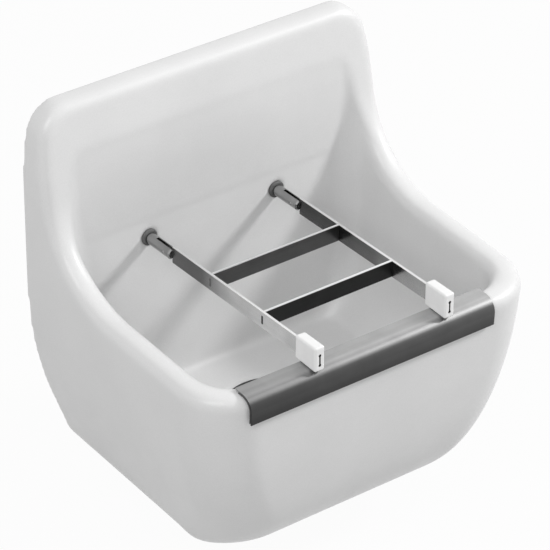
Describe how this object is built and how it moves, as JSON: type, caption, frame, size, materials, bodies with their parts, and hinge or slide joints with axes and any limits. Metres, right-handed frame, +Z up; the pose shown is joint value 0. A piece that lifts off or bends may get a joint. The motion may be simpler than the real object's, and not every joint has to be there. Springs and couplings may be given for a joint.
{
  "type": "wall-hung bucket sink",
  "caption": "Wall-hung ceramic bucket sink with a splashback, a hinged bucket grate on forked wall studs, a steel edge guard on the front rim and a floor waste.",
  "frame": {"origin": "on the wall plane, midway between the two wall studs", "axes": "+X to the right seen from the front, +Y into the wall, +Z up"},
  "size_m": [0.452, 0.4103, 0.511],
  "materials": {
    "glazed_ceramic": "glossy white glaze",
    "guard_steel": "satin",
    "grate_steel": "satin",
    "bright_steel": "polished",
    "stud_steel": "zinc plated",
    "white_plastic": "satin white",
    "black_plastic": "satin black",
    "dark_rubber": "matt"
  },
  "bodies": {
    "basin": {"basin_body": "glazed_ceramic", "edge_guard": "guard_steel", "edge_guard_liner": "dark_rubber", "hinge_fork_left": "bright_steel", "hinge_fork_right": "bright_steel", "hinge_pin_left": "bright_steel", "hinge_pin_right": "bright_steel", "hinge_grommet_left": "dark_rubber", "hinge_grommet_right": "dark_rubber", "wall_stud_left": "stud_steel", "wall_stud_right": "stud_steel", "stud_sleeve_left": "white_plastic", "stud_sleeve_right": "white_plastic", "waste_strainer": "black_plastic", "waste_screw": "stud_steel", "waste_seal_upper": "dark_rubber", "waste_seal_lower": "dark_rubber", "waste_body": "white_plastic"},
    "grate": {"grate_arm_left": "grate_steel", "grate_arm_right": "grate_steel", "grate_cross_bar_rear": "grate_steel", "grate_cross_bar_front": "grate_steel", "end_cap_left": "white_plastic", "end_cap_right": "white_plastic"}
  },
  "joints": [
    {"name": "grate_hinge", "type": "hinge", "parent": "basin", "child": "grate", "pos_m": [0, -0.074, 0], "axis": [-1, 0, 0], "range_deg": [0, 100]}
  ]
}
